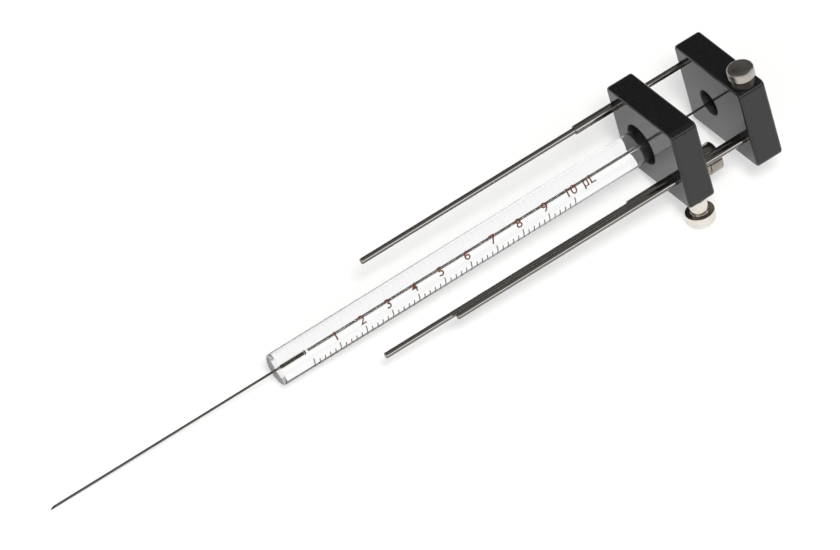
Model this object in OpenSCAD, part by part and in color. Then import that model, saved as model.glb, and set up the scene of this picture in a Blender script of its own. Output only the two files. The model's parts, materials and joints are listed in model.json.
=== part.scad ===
// Microsyringe with a repeat-volume adapter: cemented-needle glass barrel,
// wire plunger, two sliding blocks on guide rods, stop rod and push button.
// Millimetres. +X runs from the needle to the plunger along the barrel axis,
// the origin is at the scale's zero mark, and +Z is up as it lies on a table.

/* [Barrel] */
// Outside diameter of the glass
barrel_d = 6.6; // [5.5:0.1:8]
// Precision bore of the glass
bore_d = 0.46; // [0.4:0.02:1]
// Length of the printed scale
scale_length = 60; // [45:1:70]
// Glass in front of the zero mark
glass_nose = 6.8; // [5:0.1:12]
// Bare glass between the last mark and the front block
glass_tail = 17.4; // [14:0.1:25]
// Bevel on the edges of the glass
glass_bevel = 0.3; // [0.1:0.05:0.6]

/* [Needle] */
// Outside diameter of the needle tube
needle_d = 0.474; // [0.4:0.01:0.72]
// Inside diameter of the needle tube
needle_bore = 0.127; // [0.1:0.01:0.3]
// Needle length outside the glass
needle_length = 51; // [30:0.5:60]
// Angle of the ground point
point_angle = 22; // [12:1:45]
// Diameter of the socket drilled in the glass for the cement
socket_d = 0.9; // [0.8:0.05:1.4]
// Depth of the taper ground on the needle for the cement
needle_taper = 0.015; // [0.01:0.005:0.03]
// Gap between the needle's inner end and the plunger tip
needle_gap = 1; // [0.4:0.1:3]

/* [Plunger] */
// Diameter of the plunger wire
plunger_d = 0.43; // [0.3:0.01:0.9]
// Diameter of the plunger's button
button_d = 9; // [7:0.5:12]
// Thickness of the button behind the rear block
button_t = 1.8; // [1:0.1:3]

/* [Blocks] */
// Long edge of each block
block_l = 22.3; // [20.5:0.1:26]
// Short edge of each block
block_h = 18.2; // [17:0.1:22]
// Thickness of each block along the barrel
block_t = 5.9; // [5.4:0.1:8]
// Clear gap between the blocks with the plunger pushed home
block_gap = 9.9; // [9:0.1:16]
// Barrel axis to the block's rod side face
axis_side = 8.7; // [8.3:0.1:10]
// Barrel axis to the block's top face
axis_top = 9.6; // [8.5:0.1:11]
// Radius of the block's corners
corner_r = 1.1; // [0.4:0.1:2]
// Width of the bevel round the large faces
edge_bevel = 0.6; // [0.1:0.05:0.8]
// Diameter of the hole round the barrel
window_d = 8.6; // [7.6:0.1:9.6]
// Depth that the glass is ground down for its flange
flange_seat = 0.05; // [0.03:0.01:0.1]
// Diameter of the flange on the end of the barrel
flange_d = 14; // [13:0.1:14.4]
// Thickness of the barrel flange
flange_t = 2; // [1.2:0.1:2.6]
// Diameter of the plunger hole in the rear block
plunger_hole_d = 5.4; // [4.6:0.1:6.4]

/* [Rods] */
// Diameter of the three rods
rod_d = 1.24; // [1:0.02:1.3]
// Outside diameter of the guide sleeves
sleeve_d = 1.84; // [1.7:0.02:1.9]
// How far the upper sleeve stands out in front
upper_sleeve_out = 9.4; // [4:0.1:14]
// How far the lower sleeve stands out in front
lower_sleeve_out = 10; // [4:0.1:14]
// How far the upper rod reaches in front of the front block
upper_rod_out = 58.7; // [20:0.5:70]
// How far the lower rod reaches in front of the front block
lower_rod_out = 66.1; // [20:0.5:75]
// How far the stop rod reaches in front of the front block
stop_rod_out = 50.7; // [20:0.5:60]
// How far the stop rod shows behind the rear block
stop_rod_behind = 0.8; // [0.4:0.1:4]
// Upper rod's centre in from the blocks' near side
upper_rod_in = 2; // [1.7:0.1:4]
// Upper rod's centre below the blocks' top
upper_rod_down = 3.7; // [2.5:0.1:6]
// Stop rod's centre in from the blocks' far side
stop_rod_in = 2.7; // [2.5:0.1:3.2]
// Stop rod's centre below the blocks' top
stop_rod_down = 12.4; // [11.9:0.1:13]
// Lower rod's centre further in than the stop rod's
lower_rod_in = 1.8; // [1.8:0.05:2.4]
// Lower rod's centre further down than the stop rod's
lower_rod_down = 0.45; // [0.3:0.05:0.8]

/* [Thumb screws] */
// Diameter of the polished heads
head_d = 5.8; // [5:0.1:6.2]
// Thickness of the screw heads
head_t = 2.1; // [1.6:0.1:3.5]
// Diameter of the shoulder under each head
shoulder_d = 3.6; // [3:0.1:4.4]
// Length of the stop screw's shoulder
shoulder_t = 3.1; // [1.5:0.1:5]
// Thread diameter of the thumb screws
thread_d = 2.9; // [2.5:0.05:3]

/* [Push button] */
// Diameter of the button's head
press_head_d = 5.3; // [4.8:0.1:5.8]
// Thickness of the button's head
press_head_t = 2; // [1.8:0.05:2.6]
// Height of the head's underside above the block
press_head_up = 1.6; // [1.4:0.05:2]
// How far the button presses in
press_travel = 0.7; // [0.4:0.05:0.8]
// Depth of the finger dish in the button
dish = 0.35; // [0.1:0.05:0.8]
// Wire diameter of the button's spring
spring_wire = 0.3; // [0.2:0.02:0.36]
// Number of coils in the button's spring
spring_turns = 5; // [4:1:7]
// Depth of the spring's chamber below the top of the block
chamber_depth = 8; // [7.6:0.1:8.6]

/* [Output] */
// Smoothness of the curves
smooth = 96; // [48:8:128]

/* [Hidden] */

fit = 0.06;       // radial running fit of a rod in its hole
seat = 0.02;      // radial gap of a fixed piece in its seat
clear = 0.3;      // gap between faces that move past each other

black = [0.05, 0.05, 0.055];
steel = [0.62, 0.61, 0.59];
bright = [0.8, 0.78, 0.74];
clearglass = [0.86, 0.93, 0.95, 0.4];
epoxy = [0.9, 0.88, 0.8];
brass = [0.76, 0.6, 0.3];

front_x = scale_length + glass_tail;
front_back_x = front_x + block_t;
rear_x = front_back_x + block_gap;
rear_back_x = rear_x + block_t;
front_mid_x = front_x + block_t / 2;
rear_mid_x = rear_x + block_t / 2;
side_y = axis_side;
far_y = axis_side - block_l;
top_z = axis_top;
low_z = axis_top - block_h;

needle_in = glass_nose - needle_gap + 0.3;
plunger_tip_x = 0.3;
cement_d = socket_d - 2 * seat;

flange_pocket_d = flange_d + 4 * seat;
glass_end_x = front_back_x - 0.2;

// each rod's place across the blocks, [y, z]
upper_rod = [side_y - upper_rod_in, top_z - upper_rod_down];
stop_rod_at = [far_y + stop_rod_in, top_z - stop_rod_down];
lower_rod = stop_rod_at + [lower_rod_in, -lower_rod_down];
rod_hole_d = rod_d + 2 * fit;

// the screw whose collar bears on the barrel flange
flange_screw = [-flange_d * 0.44, -flange_d * 0.457];
flange_screw_out = 5.5;
collar_d = head_d - 0.7;
thread_hole_d = thread_d + 2 * fit;
dog_d = 1.2;
dog_z = lower_rod[1] - sleeve_d / 2 - 0.35;

stop_screw_drop = shoulder_t + clear + head_t;
rest_roll = atan(stop_screw_drop / (side_y - stop_rod_at[0] - head_d / 2));

bushing_d = 4.4;
bushing_l = 3;
bushing_collar_d = bushing_d - 0.1;
collar_up = press_head_up - press_travel - 0.1;
pin_shoulder_d = 3.4;
pin_shoulder_t = 0.8;
pin_d = 2;
chamber_floor_z = top_z - chamber_depth;
pin_top_z = top_z - bushing_l - clear;
spring_top_z = pin_top_z - pin_shoulder_t;
spring_length = spring_top_z - chamber_floor_z;
pin_end_z = stop_rod_at[1] + rod_d / 2 + fit + press_travel;
press_pin_in = press_head_t - 0.7;

function ring_points(r, n, c, t, u) =
    [for (k = [0:n - 1]) c + r * (cos(360 * k / n) * t + sin(360 * k / n) * u)];

// height of the spring's centre line after a of its turns: the first and
// last turns lie closed on their neighbours, those between share the rest
function coil_height(a, turns, wire, span) =
    let (shut = wire * 1.08, open = (span - 2 * shut) / (turns - 2))
    a < 1 ? shut * a
    : a > turns - 1 ? span - shut * (turns - a)
    : shut + open * (a - 1);

module closed_spring(mean_r, wire, length, turns) {
    steps = 20;
    sides = 8;
    total = turns * steps;
    span = length - wire * 0.5;
    lift = wire * 0.25;
    points = [for (i = [0:total])
        let (a = i / steps, deg = 360 * a,
             out = [cos(deg), sin(deg), 0],
             c = mean_r * out + [0, 0, lift + coil_height(a, turns, wire, span)])
        each ring_points(wire / 2, sides, c, out, [0, 0, 1])];
    skin = [for (i = [0:total - 1], k = [0:sides - 1])
        [i * sides + k, i * sides + (k + 1) % sides,
         (i + 1) * sides + (k + 1) % sides, (i + 1) * sides + k]];
    ends = [[for (k = [sides - 1:-1:0]) k],
            [for (k = [0:sides - 1]) total * sides + k]];
    // both ends are ground square to the axis
    intersection() {
        polyhedron(points, concat(skin, ends), convexity = 10);
        cylinder(h = length, r = mean_r + wire * 2, $fn = 24);
    }
}

// rolls the assembly on to its resting edges
module laid() {
    rotate([-rest_roll, 0, 0]) children();
}

// a bar along +X between two stations, centred on at = [y, z]
module bar(d, from, to, at = [0, 0]) {
    translate([from, at[0], at[1]]) rotate([0, 90, 0])
        cylinder(h = to - from, d = d, $fn = smooth);
}

// a rod along +X with both ends rounded off
module rounded_rod(d, from, to, at) {
    e = d * 0.16;
    translate([from, at[0], at[1]]) rotate([0, 90, 0])
        rotate_extrude($fn = smooth)
            polygon([[0, 0], [d / 2 - e, 0], [d / 2 - e * 0.3, e * 0.3],
                     [d / 2, e], [d / 2, to - from - e],
                     [d / 2 - e * 0.3, to - from - e * 0.3],
                     [d / 2 - e, to - from], [0, to - from]]);
}

// block outline in the plane across the barrel
module outline(inset = 0) {
    offset(r = corner_r - inset, $fn = 48)
        translate([far_y + corner_r, low_z + corner_r])
            square([block_l - 2 * corner_r, block_h - 2 * corner_r]);
}

module block_body(x) {
    translate([x, 0, 0]) rotate([90, 0, 90]) hull() {
        translate([0, 0, edge_bevel])
            linear_extrude(block_t - 2 * edge_bevel) outline();
        linear_extrude(block_t) outline(edge_bevel);
    }
}

// round head with softened rims, its top at z = t
module polished_head(d, t, rim = 0.35) {
    rotate_extrude($fn = smooth)
        polygon(concat(
            [[0, 0]],
            [for (a = [-90:15:0]) [d / 2 - rim + rim * cos(a), rim + rim * sin(a)]],
            [for (a = [0:15:90]) [d / 2 - rim + rim * cos(a), t - rim + rim * sin(a)]],
            [[0, t]]));
}

// headless screw along +Z with a hexagon socket in its top
module set_screw(length, d = 1.9) {
    difference() {
        rotate_extrude($fn = 48)
            polygon([[0, 0], [d / 2 - 0.2, 0], [d / 2, 0.2],
                     [d / 2, length - 0.15], [d / 2 - 0.15, length], [0, length]]);
        translate([0, 0, length - min(0.8, length * 0.5)])
            cylinder(h = 1, d = 1.03, $fn = 6);
    }
}

// straight glass up to the block, ground down a little under the flange
module glass_barrel() {
    r = barrel_d / 2;
    seat_r = r - flange_seat;
    color(clearglass) laid() difference() {
        rotate([0, 90, 0]) rotate_extrude($fn = smooth)
            polygon([[0, -glass_nose], [r - glass_bevel, -glass_nose],
                     [r, glass_bevel - glass_nose], [r, front_x],
                     [seat_r, front_back_x - flange_t],
                     [seat_r, glass_end_x - glass_bevel],
                     [seat_r - glass_bevel, glass_end_x], [0, glass_end_x]]);
        bar(bore_d, -1, glass_end_x + 1);
        bar(socket_d, -glass_nose - 1, needle_in - glass_nose);
    }
}

module barrel_flange() {
    color(steel) laid() difference() {
        bar(flange_d, front_back_x - flange_t, front_back_x);
        bar(barrel_d - 2 * flange_seat + 2 * seat, front_x, front_back_x + 1);
    }
}

// parallel outside the glass, with a slight taper for the cement inside it
module needle() {
    tip_x = -glass_nose - needle_length;
    r = needle_d / 2;
    color(steel) laid() difference() {
        rotate([0, 90, 0]) rotate_extrude($fn = smooth)
            polygon([[0, tip_x], [r, tip_x], [r, -glass_nose],
                     [r - needle_taper, needle_in - glass_nose],
                     [0, needle_in - glass_nose]]);
        bar(needle_bore, tip_x - 1, front_x);
        // single ground bevel, its heel upwards
        translate([tip_x, 0, -needle_d / 2])
            rotate([0, -point_angle, 0])
                translate([-3, -1, 0]) cube([6, 2, 3]);
    }
}

module needle_cement() {
    color(epoxy) laid() difference() {
        bar(cement_d, -glass_nose + 0.05, needle_in - glass_nose - 0.02);
        bar(needle_d + 2 * seat, -glass_nose - 1, front_x);
    }
}

module barrel_block() {
    color(black) laid() difference() {
        block_body(front_x);
        bar(window_d, front_x - 1, front_back_x + 1);
        bar(flange_pocket_d, front_back_x - flange_t - 0.05, front_back_x + 1);
        bar(sleeve_d + 2 * seat, front_x - 1, front_back_x + 1, upper_rod);
        bar(sleeve_d + 2 * seat, front_x - 1, front_back_x + 1, lower_rod);
        bar(rod_hole_d, front_x - 1, front_back_x + 1, stop_rod_at);
        bar(thread_hole_d, front_x + 1.2, front_back_x + 1, flange_screw);
        translate([front_mid_x, stop_rod_at[0], low_z - 1])
            cylinder(h = dog_z + 0.1 - low_z + 1, d = thread_hole_d, $fn = smooth);
        translate([front_mid_x, stop_rod_at[0], low_z - 1])
            cylinder(h = stop_rod_at[1] - low_z + 1, d = dog_d + 2 * fit, $fn = smooth);
    }
}

module sleeve(at, out) {
    color(steel) laid() difference() {
        bar(sleeve_d, front_x - out, front_back_x - 0.1, at);
        bar(rod_hole_d, front_x - out - 1, front_back_x + 1, at);
    }
}
module upper_sleeve() { sleeve(upper_rod, upper_sleeve_out); }
module lower_sleeve() { sleeve(lower_rod, lower_sleeve_out); }

// screw from behind: its collar reaches over the rim of the barrel flange
module flange_thumb_screw() {
    collar_t = flange_screw_out - clear - head_t - 0.7;
    color(bright) laid()
        translate([front_back_x, flange_screw[0], flange_screw[1]])
            rotate([0, 90, 0]) union() {
                translate([0, 0, 1.5 - block_t])
                    cylinder(h = block_t - 1, d = thread_d, $fn = smooth);
                translate([0, 0, clear])
                    cylinder(h = collar_t + 0.1, d = collar_d, $fn = smooth);
                translate([0, 0, clear + collar_t])
                    polished_head(head_d, head_t + 0.7);
            }
}

// screw from below: its dog point holds the stop rod
module stop_thumb_screw() {
    color(bright) laid()
        translate([front_mid_x, stop_rod_at[0], low_z])
            rotate([180, 0, 0]) union() {
                translate([0, 0, low_z - dog_z])
                    cylinder(h = dog_z - low_z + 1, d = thread_d, $fn = smooth);
                translate([0, 0, low_z - stop_rod_at[1] + rod_d / 2 + fit])
                    cylinder(h = stop_rod_at[1] - low_z - rod_d / 2 - fit + 0.5,
                             d = dog_d, $fn = smooth);
                translate([0, 0, clear])
                    cylinder(h = shoulder_t + 0.1, d = shoulder_d, $fn = smooth);
                translate([0, 0, clear + shoulder_t])
                    polished_head(head_d, head_t);
            }
}

module stop_rod() {
    color(steel) laid()
        rounded_rod(rod_d, front_x - stop_rod_out,
                    rear_back_x + stop_rod_behind, stop_rod_at);
}

module plunger_wire() {
    color(steel) laid()
        bar(plunger_d, plunger_tip_x, rear_back_x + 0.4);
}

// stem in the rear block's hole with the finger button behind it
module plunger_button() {
    color(bright) laid() difference() {
        union() {
            bar(plunger_hole_d - 2 * seat, rear_x + 1.4, rear_back_x + 0.5);
            translate([rear_back_x + seat, 0, 0]) rotate([0, 90, 0])
                polished_head(button_d, button_t, 0.4);
        }
        bar(plunger_d + 2 * seat, rear_x, rear_back_x + 0.42);
        translate([rear_mid_x + 0.4, 0, -plunger_hole_d / 2 - 1])
            cylinder(h = 1.35, d = 2, $fn = 48);
    }
}

module plunger_block() {
    x = rear_mid_x;
    color(black) laid() difference() {
        block_body(rear_x);
        bar(plunger_hole_d, rear_x - 1, rear_back_x + 1);
        bar(rod_d + 2 * seat, rear_x - 1, rear_back_x + 1, upper_rod);
        bar(rod_d + 2 * seat, rear_x - 1, rear_back_x + 1, lower_rod);
        bar(rod_hole_d, rear_x - 1, rear_back_x + 1, stop_rod_at);
        // set screw holes: plunger and lower rod from below, upper rod from the side
        translate([x + 0.4, 0, low_z - 1])
            cylinder(h = -low_z, d = 1.94, $fn = 48);
        translate([x, lower_rod[0], low_z - 1])
            cylinder(h = lower_rod[1] - low_z + 1, d = 1.94, $fn = 48);
        translate([x, side_y + 1, upper_rod[1]]) rotate([90, 0, 0])
            cylinder(h = side_y + 1 - upper_rod[0], d = 1.94, $fn = 48);
        // push button: bushing seat, spring chamber and pin hole
        translate([x, stop_rod_at[0], top_z - bushing_l])
            cylinder(h = bushing_l + 1, d = bushing_d + 2 * seat, $fn = smooth);
        translate([x, stop_rod_at[0], chamber_floor_z])
            cylinder(h = chamber_depth, d = pin_shoulder_d + 0.4, $fn = smooth);
        translate([x, stop_rod_at[0], stop_rod_at[1] + rod_d / 4])
            cylinder(h = chamber_depth, d = pin_d + 2 * fit, $fn = smooth);
    }
}

module upper_guide_rod() {
    color(steel) laid()
        rounded_rod(rod_d, front_x - upper_rod_out, rear_back_x - 0.1, upper_rod);
}

module lower_guide_rod() {
    color(steel) laid()
        rounded_rod(rod_d, front_x - lower_rod_out, rear_back_x - 0.1, lower_rod);
}

module plunger_set_screw() {
    color(steel) laid() translate([rear_mid_x + 0.4, 0, 0.33 - plunger_hole_d / 2])
        rotate([180, 0, 0]) set_screw(4);
}

module lower_rod_set_screw() {
    color(steel) laid()
        translate([rear_mid_x, lower_rod[0], lower_rod[1] - rod_d / 2 - seat])
            rotate([180, 0, 0]) set_screw(3);
}

module upper_rod_set_screw() {
    gap = side_y - upper_rod[0] - rod_d / 2;
    color(steel) laid()
        translate([rear_mid_x, upper_rod[0] + rod_d / 2 + seat, upper_rod[1]])
            rotate([-90, 0, 0]) set_screw(gap - 0.15);
}

// guides the button's pin and keeps its shoulder in the block
module button_bushing() {
    color(bright) laid()
        translate([rear_mid_x, stop_rod_at[0], top_z - bushing_l]) difference() {
            union() {
                cylinder(h = bushing_l, d = bushing_d, $fn = smooth);
                cylinder(h = bushing_l + collar_up, d = bushing_collar_d, $fn = smooth);
            }
            translate([0, 0, -1])
                cylinder(h = bushing_l + 3, d = pin_d + 2 * fit, $fn = smooth);
        }
}

module button_pin() {
    color(steel) laid() translate([rear_mid_x, stop_rod_at[0], 0]) union() {
        translate([0, 0, pin_end_z])
            cylinder(h = top_z + press_head_up + press_pin_in - 0.05 - pin_end_z,
                     d = pin_d, $fn = smooth);
        translate([0, 0, spring_top_z])
            cylinder(h = pin_shoulder_t, d = pin_shoulder_d, $fn = smooth);
    }
}

module button_spring() {
    mean_d = (pin_shoulder_d + 0.4 + pin_d) / 2 + 0.1;
    color(steel) laid()
        translate([rear_mid_x, stop_rod_at[0], chamber_floor_z])
            closed_spring(mean_d / 2, spring_wire, spring_length, spring_turns);
}

// head with a shallow finger dish; it rides on the pin above the bushing
module push_button() {
    dish_r = (press_head_d - 0.9) / 2;
    ball_r = (dish_r * dish_r + dish * dish) / (2 * dish);
    color(bright) laid()
        translate([rear_mid_x, stop_rod_at[0], top_z + press_head_up]) difference() {
            polished_head(press_head_d, press_head_t, 0.3);
            translate([0, 0, press_head_t + ball_r - dish])
                sphere(r = ball_r, $fn = 180);
            translate([0, 0, -1])
                cylinder(h = press_pin_in + 1, d = pin_d + 2 * seat, $fn = smooth);
        }
}

glass_barrel();
barrel_flange();
needle();
needle_cement();
barrel_block();
upper_sleeve();
lower_sleeve();
flange_thumb_screw();
stop_thumb_screw();
stop_rod();
plunger_wire();
plunger_button();
plunger_block();
upper_guide_rod();
lower_guide_rod();
plunger_set_screw();
upper_rod_set_screw();
lower_rod_set_screw();
button_bushing();
button_spring();
button_pin();
push_button();
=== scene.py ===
import json
import math

import bmesh
import bpy
from mathutils import Matrix, Vector


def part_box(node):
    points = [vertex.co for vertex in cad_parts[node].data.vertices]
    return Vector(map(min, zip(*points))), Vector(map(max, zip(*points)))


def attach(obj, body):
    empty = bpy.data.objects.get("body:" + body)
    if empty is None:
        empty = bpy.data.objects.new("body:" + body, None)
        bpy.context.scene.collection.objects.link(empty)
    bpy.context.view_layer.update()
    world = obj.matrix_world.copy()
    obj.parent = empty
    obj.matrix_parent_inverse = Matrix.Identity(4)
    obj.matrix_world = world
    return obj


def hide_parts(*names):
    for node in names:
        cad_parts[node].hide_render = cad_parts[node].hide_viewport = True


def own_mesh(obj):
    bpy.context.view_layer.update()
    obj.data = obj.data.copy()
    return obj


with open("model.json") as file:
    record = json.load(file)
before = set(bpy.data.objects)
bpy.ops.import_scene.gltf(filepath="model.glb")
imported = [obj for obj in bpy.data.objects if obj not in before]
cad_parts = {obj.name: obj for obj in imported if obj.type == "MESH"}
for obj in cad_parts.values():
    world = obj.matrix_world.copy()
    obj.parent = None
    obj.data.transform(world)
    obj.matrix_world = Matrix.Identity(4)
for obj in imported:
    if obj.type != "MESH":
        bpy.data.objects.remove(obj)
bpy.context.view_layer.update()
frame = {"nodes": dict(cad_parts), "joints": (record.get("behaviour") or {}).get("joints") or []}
nodes = frame["nodes"]
joints = {joint["name"]: joint for joint in frame["joints"]}

# The syringe is drawn square to its blocks, in millimetres: x runs along the
# barrel, y across the blocks and z up to their tops. laid rolls it on to its
# resting edges. Down through the push button tells how far.
pressWay = Vector(joints["button_press"]["axis"])
laid = Matrix.Rotation(math.atan2(pressWay.y, -pressWay.z), 4, "X")
toFrame = laid @ Matrix.Scale(0.001, 4)
toLocal = toFrame.inverted()
sizes = {}


def sizeOf(node):
    # lowest and highest corner of a node in the drawing's own millimetres
    if node not in sizes:
        points = [toLocal @ v.co for v in nodes[node].data.vertices]
        sizes[node] = (Vector([min(p[k] for p in points) for k in range(3)]),
                       Vector([max(p[k] for p in points) for k in range(3)]))
    return sizes[node]


def radiusOf(node):
    # of a round piece that runs along the barrel
    low, high = sizeOf(node)
    return (high.y - low.y) / 2


def middle(node):
    low, high = sizeOf(node)
    return (low + high) / 2


print("frame loaded")


def newMaterial(name):
    material = bpy.data.materials.new(name)
    material.use_nodes = True
    tree = material.node_tree
    return material, tree, tree.nodes["Principled BSDF"]


def addNode(tree, kind, settings=None, inputs=None):
    node = tree.nodes.new(kind)
    for key, value in (settings or {}).items():
        setattr(node, key, value)
    for key, value in (inputs or {}).items():
        node.inputs[key].default_value = value
    return node


def objectSpace(tree, scale, turn=(0, 0, 0), place=(0, 0, 0)):
    # object coordinates, with scale in cycles a metre
    where = addNode(tree, "ShaderNodeTexCoord")
    mapping = addNode(tree, "ShaderNodeMapping", {"vector_type": "TEXTURE"}, {
        "Location": place, "Rotation": turn,
        "Scale": [1 / s for s in scale]})
    tree.links.new(where.outputs["Object"], mapping.inputs["Vector"])
    return mapping.outputs["Vector"]


def noise(tree, vector, detail=3, roughness=0.5, scale=1):
    node = addNode(tree, "ShaderNodeTexNoise", None, {
        "Scale": scale, "Detail": detail, "Roughness": roughness})
    tree.links.new(vector, node.inputs["Vector"])
    return node.outputs["Fac"]


def spread(tree, value, low, high, fromLow=0.3, fromHigh=0.7):
    node = addNode(tree, "ShaderNodeMapRange", None, {
        "From Min": fromLow, "From Max": fromHigh,
        "To Min": low, "To Max": high})
    tree.links.new(value, node.inputs["Value"])
    return node.outputs["Result"]


def blendColours(tree, value, first, second):
    node = addNode(tree, "ShaderNodeMix", {"data_type": "RGBA"})
    node.inputs[6].default_value = (*first, 1)
    node.inputs[7].default_value = (*second, 1)
    tree.links.new(value, node.inputs[0])
    return node.outputs[2]


def bump(tree, shader, height, distance, strength=1.0, before=None):
    node = addNode(tree, "ShaderNodeBump", None, {
        "Strength": strength, "Distance": distance})
    tree.links.new(height, node.inputs["Height"])
    if before:
        tree.links.new(before, node.inputs["Normal"])
    tree.links.new(node.outputs["Normal"], shader.inputs["Normal"])
    return node.outputs["Normal"]


def blockBlack(name, colour=(0.007, 0.007, 0.008), dust=(0.024, 0.023, 0.025),
               rough=(0.07, 0.16)):
    material, tree, shader = newMaterial(name)
    shader.inputs["IOR"].default_value = 1.5
    # faint handling marks, a slight orange peel and hairline scratches
    smears = noise(tree, objectSpace(tree, (160, 160, 160)), 4, 0.6)
    hairs = noise(tree, objectSpace(tree, (260, 9000, 1400), (0.4, 0.2, 0.6)),
                  2, 0.4)
    peel = noise(tree, objectSpace(tree, (1400, 1400, 1400)), 2, 0.5)
    specks = noise(tree, objectSpace(tree, (5200, 5200, 5200)), 1, 0.5)
    tree.links.new(spread(tree, smears, *rough), shader.inputs["Roughness"])
    tree.links.new(blendColours(tree, spread(tree, specks, 0, 1, 0.56, 0.7),
                                colour, dust), shader.inputs["Base Color"])
    first = bump(tree, shader, peel, 0.000004, 0.35)
    bump(tree, shader, hairs, 0.000002, 0.25, first)
    return material


def drawnSteel(name, colour=(0.58, 0.545, 0.51), rough=(0.04, 0.1),
               grain=(120, 26000, 26000), edge=0.36):
    material, tree, shader = newMaterial(name)
    shader.inputs["Metallic"].default_value = 1
    # drawing lines run along the rod
    lines = noise(tree, objectSpace(tree, grain), 3, 0.6)
    stain = noise(tree, objectSpace(tree, (90, 700, 700)), 3, 0.5)
    tree.links.new(spread(tree, lines, *rough), shader.inputs["Roughness"])
    dark = [c * 0.84 for c in colour]
    steel = blendColours(tree, spread(tree, stain, 0, 1), dark, colour)
    # painted shade: the colour darkens where the round turns away from the view, standing in for
    # the dark reflection along its edges
    turn = addNode(tree, "ShaderNodeLayerWeight", None, {"Blend": 0.5})
    paintedEdgeShade = blendColours(tree, spread(tree, turn.outputs["Facing"], 0, 1,
                                     0.09, 0.18),
                        colour, [c * edge for c in colour])
    tree.links.new(steel, paintedEdgeShade.node.inputs[6])
    tree.links.new(paintedEdgeShade, shader.inputs["Base Color"])
    bump(tree, shader, lines, 0.0000012, 0.2)
    return material


def turnedNickel(name, place, turn, colour, rough=(0.12, 0.22)):
    # place and turn put the pattern's own z along the turned axis
    material, tree, shader = newMaterial(name)
    shader.inputs["Metallic"].default_value = 1
    centred = objectSpace(tree, (1, 1, 1), turn, place)
    rings = addNode(tree, "ShaderNodeTexWave",
                    {"wave_type": "RINGS", "rings_direction": "Z"},
                    {"Scale": 2600, "Distortion": 1.5, "Detail": 2,
                     "Detail Scale": 400})
    tree.links.new(centred, rings.inputs["Vector"])
    smears = noise(tree, objectSpace(tree, (420, 420, 420)), 3, 0.6)
    tree.links.new(spread(tree, smears, *rough), shader.inputs["Roughness"])
    dull = [c * 0.86 for c in colour]
    tree.links.new(blendColours(tree, spread(tree, smears, 0, 1),
                                dull, colour), shader.inputs["Base Color"])
    bump(tree, shader, rings.outputs["Fac"], 0.0000006, 0.35)
    return material


def clearGlass(name):
    material, tree, shader = newMaterial(name)
    shader.inputs["Base Color"].default_value = (0.985, 0.992, 0.99, 1)
    shader.inputs["Transmission Weight"].default_value = 1
    shader.inputs["Roughness"].default_value = 0
    shader.inputs["IOR"].default_value = 1.473
    # drawn tube: very long, very shallow waves
    waves = noise(tree, objectSpace(tree, (14, 300, 300)), 1, 0.5)
    bump(tree, shader, waves, 0.000004, 0.1)
    # the light that reaches the floor goes straight through, somewhat dimmed
    path = addNode(tree, "ShaderNodeLightPath")
    straight = addNode(tree, "ShaderNodeMath", {"operation": "MAXIMUM"})
    tree.links.new(path.outputs["Is Shadow Ray"], straight.inputs[0])
    tree.links.new(path.outputs["Is Diffuse Ray"], straight.inputs[1])
    clear = addNode(tree, "ShaderNodeBsdfTransparent", None,
                    {"Color": (0.4, 0.405, 0.41, 1)})
    mix = addNode(tree, "ShaderNodeMixShader")
    tree.links.new(straight.outputs[0], mix.inputs["Fac"])
    tree.links.new(shader.outputs[0], mix.inputs[1])
    tree.links.new(clear.outputs[0], mix.inputs[2])
    tree.links.new(mix.outputs[0], tree.nodes["Material Output"].inputs[0])
    return material


def groundGlass(name):
    # the cut end: clear above and ground matt below, its colour paler above and darker below as
    # painted shade
    material, tree, shader = newMaterial(name)
    shader.inputs["IOR"].default_value = 1.0
    where = objectSpace(tree, (1000, 1000, 1000))
    height = addNode(tree, "ShaderNodeVectorMath",
                     {"operation": "DOT_PRODUCT"}, {1: (0, -0.505, 0.863)})
    tree.links.new(where, height.inputs[0])
    pits = noise(tree, objectSpace(tree, (1400, 1400, 1400)), 4, 0.65)
    pitsAndPaintedShade = addNode(tree, "ShaderNodeMath", {"operation": "MULTIPLY_ADD"},
                     {1: 1.6})
    tree.links.new(pits, pitsAndPaintedShade.inputs[0])
    tree.links.new(height.outputs["Value"], pitsAndPaintedShade.inputs[2])
    # painted shade: pale at the top of the end, darker towards the bottom, with the pits mixed
    # in
    pale = spread(tree, pitsAndPaintedShade.outputs[0], 0, 1, 0.5, 1.25)
    tree.links.new(blendColours(tree, pale, (0.47, 0.44, 0.445),
                                (0.93, 0.925, 0.93)),
                   shader.inputs["Base Color"])
    tree.links.new(spread(tree, pits, 0.02, 0.08), shader.inputs["Roughness"])
    # the pale part is clear enough to see the needle's root through it
    aside = addNode(tree, "ShaderNodeVectorMath",
                    {"operation": "DOT_PRODUCT"}, {1: (0, 0.863, 0.505)})
    tree.links.new(where, aside.inputs[0])
    reach = addNode(tree, "ShaderNodeMath", {"operation": "ABSOLUTE"})
    tree.links.new(aside.outputs["Value"], reach.inputs[0])
    inner = spread(tree, reach.outputs[0], 0.85, 0.15, 1.7, 2.3)
    clear = addNode(tree, "ShaderNodeMath", {"operation": "MULTIPLY"})
    tree.links.new(pale, clear.inputs[0])
    tree.links.new(inner, clear.inputs[1])
    tree.links.new(clear.outputs[0], shader.inputs["Transmission Weight"])
    return material


def firedInk(name):
    material, tree, shader = newMaterial(name)
    shader.inputs["Roughness"].default_value = 0.45
    cloud = noise(tree, objectSpace(tree, (3500, 3500, 3500)), 3, 0.6)
    tree.links.new(blendColours(tree, spread(tree, cloud, 0, 1),
                                (0.075, 0.02, 0.008), (0.15, 0.042, 0.018)),
                   shader.inputs["Base Color"])
    bump(tree, shader, cloud, 0.000002, 0.4)
    return material


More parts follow.
